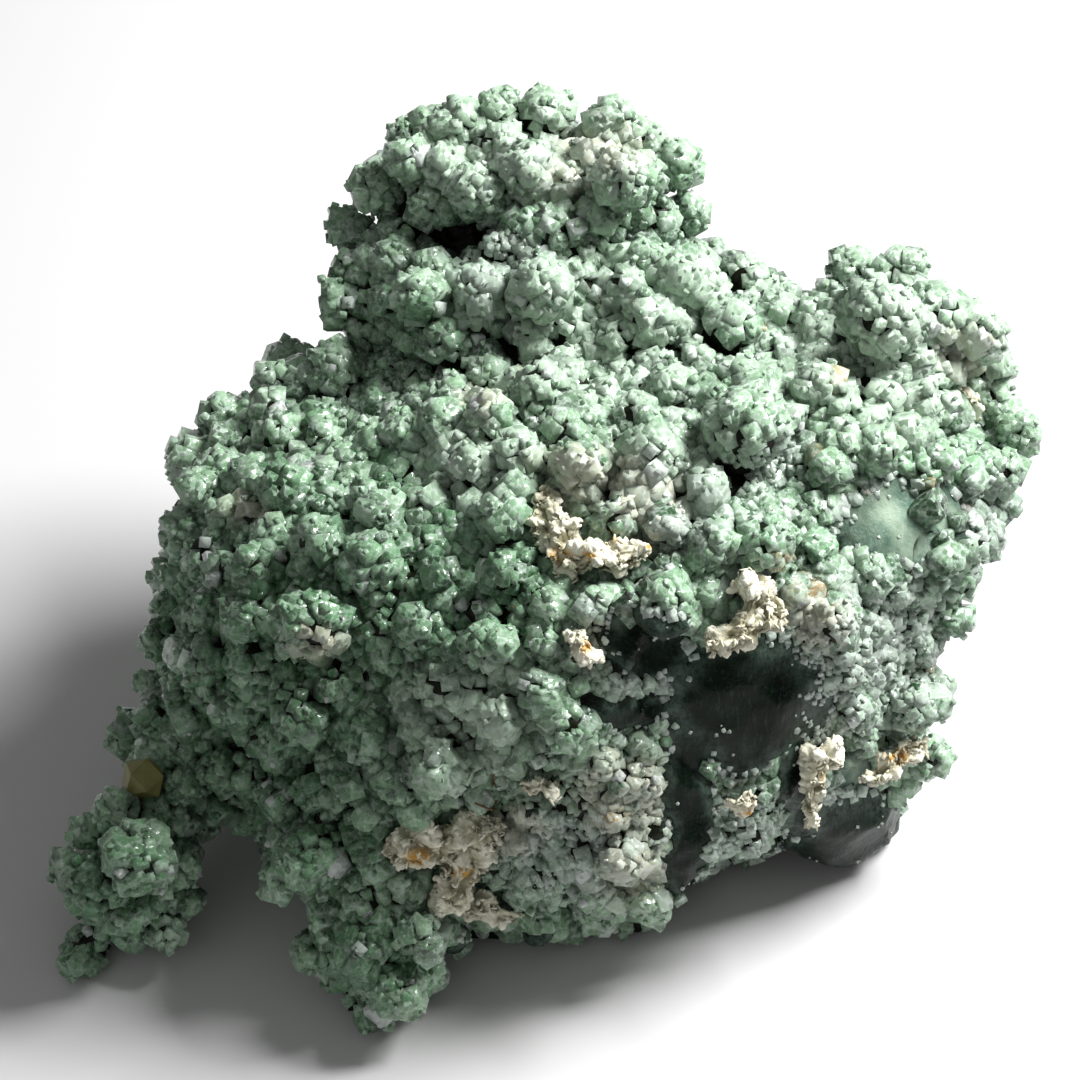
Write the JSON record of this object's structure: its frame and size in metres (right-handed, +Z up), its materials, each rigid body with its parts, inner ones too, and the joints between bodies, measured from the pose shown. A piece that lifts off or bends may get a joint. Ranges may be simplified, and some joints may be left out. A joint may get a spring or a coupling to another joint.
{
  "type": "green fluorite cluster",
  "caption": "Rough boulder-like cluster of pale green cube crystals on massive fluorite, with white crusts and a bare glassy front, resting on its flat broken base.",
  "frame": {"origin": "on the flat broken base, under the middle of the bounding box", "axes": "+X to the viewer's right of the display side, +Y away from the viewer, +Z up"},
  "size_m": [0.1793, 0.1429, 0.111],
  "materials": {
    "green_fluorite": "frosted glassy crystals, pale sea green, deeper green in the recesses",
    "white_crust": "matt flaky crust, cream white with ochre stains",
    "yellow_fluorite": "smooth, cloudy honey yellow"
  },
  "bodies": {
    "root": {"fluorite_cluster": "green_fluorite", "white_crust_ridge": "white_crust", "white_crust_fleck": "white_crust", "white_crust_knob": "white_crust", "white_crust_small": "white_crust", "white_crust_lower": "white_crust", "white_crust_front": "white_crust", "white_crust_corner": "white_crust", "white_crust_right": "white_crust", "white_crust_edge": "white_crust", "yellow_crystal": "yellow_fluorite"}
  },
  "joints": []
}
